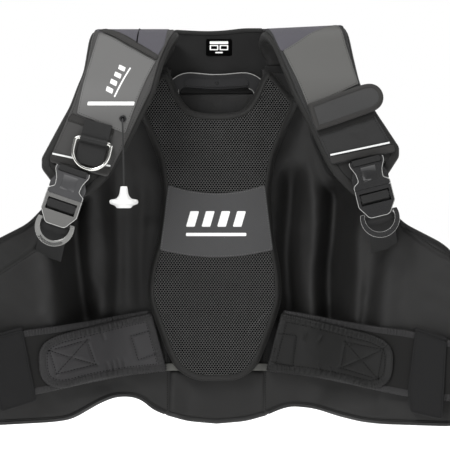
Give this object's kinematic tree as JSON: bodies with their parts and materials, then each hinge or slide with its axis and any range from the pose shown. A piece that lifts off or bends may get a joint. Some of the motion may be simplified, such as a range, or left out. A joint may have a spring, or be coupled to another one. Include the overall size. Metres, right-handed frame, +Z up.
{
  "type": "scuba buoyancy compensator vest",
  "caption": "Open-front diving vest with padded shoulders, side lobes, back pad, tank band, quick-release shoulder buckles, a pull-dump valve and a hose port.",
  "frame": {"origin": "centre of the tank band, on the axis of the air cylinder it clamps", "axes": "+Z up along the cylinder; -Y towards the wearer, who faces -Y; +X to the wearer's left"},
  "size_m": [0.7516, 0.384, 0.5743],
  "materials": {
    "air_cell_nylon": "coated woven nylon",
    "lobe_nylon": "coated woven nylon",
    "padded_cloth": "padded polyester cloth",
    "spacer_mesh": "open spacer mesh over foam",
    "grey_coated_cloth": "coated cloth",
    "webbing": "woven webbing",
    "loop_pile": "napped pile",
    "reflective_tape": "reflective",
    "label_cloth": "woven label",
    "black_plastic": "satin moulded",
    "grey_plastic": "satin moulded",
    "white_plastic": "semi-gloss moulded",
    "steel": "polished stainless steel",
    "spring_steel": "plain wire",
    "cord": "braided"
  },
  "bodies": {
    "vest": {"back_panel": "air_cell_nylon", "collar": "padded_cloth", "back_pad": "spacer_mesh", "back_pad_patch": "grey_coated_cloth", "backplate": "black_plastic", "carry_handle_grip": "black_plastic", "handle_screw": "steel", "size_label": "label_cloth", "position_straps": "webbing", "pocket_zippers": "webbing", "tank_band": "webbing", "cam_buckle_frame": "black_plastic", "cam_buckle_pin": "steel", "reflectors": "reflective_tape", "upper_webbing": "webbing", "hose_tab_base": "loop_pile", "d_ring_loop": "webbing", "dump_eyelet": "steel", "dump_valve_body": "black_plastic", "dump_valve_cap": "black_plastic", "dump_valve_spring": "spring_steel", "inflator_port": "black_plastic", "right_wing": "air_cell_nylon", "right_lobe": "lobe_nylon", "right_pocket": "lobe_nylon", "right_cummerbund": "loop_pile", "right_cummerbund_sleeve": "webbing", "right_shoulder_pad": "padded_cloth", "right_shoulder_cover": "air_cell_nylon", "right_shoulder_panel": "grey_coated_cloth", "right_buckle_socket": "black_plastic", "right_buckle_plug": "grey_plastic", "right_shoulder_strap": "webbing", "left_wing": "air_cell_nylon", "left_lobe": "lobe_nylon", "left_pocket": "lobe_nylon", "left_cummerbund": "loop_pile", "left_cummerbund_sleeve": "webbing", "left_shoulder_pad": "padded_cloth", "left_shoulder_cover": "air_cell_nylon", "left_shoulder_panel": "grey_coated_cloth", "left_buckle_socket": "black_plastic", "left_buckle_plug": "grey_plastic", "left_shoulder_strap": "webbing"},
    "cam_lever": {"cam_buckle_lever": "black_plastic"},
    "hose_flap": {"hose_tab": "padded_cloth"},
    "chest_ring": {"chest_d_ring": "steel"},
    "dump_handle": {"dump_cord": "cord", "dump_knob": "white_plastic"},
    "dump_poppet": {"dump_valve_poppet": "black_plastic"},
    "right_tab": {"right_waist_tab": "padded_cloth"},
    "right_ring": {"right_pull_ring": "grey_plastic"},
    "right_latch_east": {"right_latch_east": "black_plastic"},
    "right_latch_west": {"right_latch_west": "black_plastic"},
    "right_slider": {"right_zip_slider": "black_plastic"},
    "left_tab": {"left_waist_tab": "padded_cloth"},
    "left_ring": {"left_pull_ring": "grey_plastic"},
    "left_latch_east": {"left_latch_east": "black_plastic"},
    "left_latch_west": {"left_latch_west": "black_plastic"},
    "left_slider": {"left_zip_slider": "black_plastic"}
  },
  "joints": [
    {"name": "chest_ring_swing", "type": "hinge", "parent": "vest", "child": "chest_ring", "pos_m": [-0.166, -0.2517, 0.129], "axis": [-0.9715, 0, 0.2368], "range_deg": [0, 150]},
    {"name": "dump_pull", "type": "slide", "parent": "vest", "child": "dump_handle", "axis": [0, 0, -1], "range_m": [0, 0.015], "stiffness_N_per_m": 400, "deforming": ["dump_cord"]},
    {"name": "dump_poppet_lift", "type": "slide", "parent": "vest", "child": "dump_poppet", "axis": [0, 1, 0], "range_m": [0, 0.002], "deforming": ["dump_valve_spring"]},
    {"name": "cam_lever_hinge", "type": "hinge", "parent": "vest", "child": "cam_lever", "pos_m": [-0.018, 0.1032, 0], "axis": [0, 0, 1], "range_deg": [0, 150]},
    {"name": "hose_flap_peel", "type": "hinge", "parent": "vest", "child": "hose_flap", "pos_m": [0.131, -0.2476, 0.16], "axis": [0.3122, 0, -0.95], "range_deg": [0, 90]},
    {"name": "right_waist_tab_peel", "type": "hinge", "parent": "vest", "child": "right_tab", "pos_m": [-0.094, -0.1214, -0.113], "axis": [-0.2562, 0, 0.9666], "range_deg": [0, 75]},
    {"name": "right_pull_ring_swing", "type": "hinge", "parent": "vest", "child": "right_ring", "pos_m": [-0.21754, -0.2478, 0.0189], "axis": [-0.9472, 0, 0.3206], "range_deg": [0, 75]},
    {"name": "right_latch_east_squeeze", "type": "hinge", "parent": "vest", "child": "right_latch_east", "pos_m": [-0.19122, -0.2484, 0.04926], "axis": [0, -1, 0], "range_deg": [0, 7], "stiffness_Nm_per_rad": 0.3},
    {"name": "right_latch_west_squeeze", "type": "hinge", "parent": "vest", "child": "right_latch_west", "pos_m": [-0.22001, -0.2484, 0.05901], "axis": [0, 1, 0], "range_deg": [0, 7], "stiffness_Nm_per_rad": 0.3},
    {"name": "right_zip_slide", "type": "slide", "parent": "vest", "child": "right_slider", "axis": [-0.932, -0.3574, -0.0597], "range_m": [0, 0.06]},
    {"name": "left_waist_tab_peel", "type": "hinge", "parent": "vest", "child": "left_tab", "pos_m": [0.094, -0.1214, -0.113], "axis": [-0.2562, 0, -0.9666], "range_deg": [0, 75]},
    {"name": "left_pull_ring_swing", "type": "hinge", "parent": "vest", "child": "left_ring", "pos_m": [0.22171, -0.2478, 0.03107], "axis": [-0.9703, 0, -0.2419], "range_deg": [0, 75]},
    {"name": "left_latch_east_squeeze", "type": "hinge", "parent": "vest", "child": "left_latch_east", "pos_m": [0.22746, -0.2484, 0.07084], "axis": [0, -1, 0], "range_deg": [0, 7], "stiffness_Nm_per_rad": 0.3},
    {"name": "left_latch_west_squeeze", "type": "hinge", "parent": "vest", "child": "left_latch_west", "pos_m": [0.19796, -0.2484, 0.06349], "axis": [0, 1, 0], "range_deg": [0, 7], "stiffness_Nm_per_rad": 0.3},
    {"name": "left_zip_slide", "type": "slide", "parent": "vest", "child": "left_slider", "axis": [0.932, -0.3574, -0.0597], "range_m": [0, 0.06]}
  ],
  "couplings": [
    {"joint": "dump_poppet_lift", "follows": "dump_pull", "ratio": 0.13333}
  ]
}
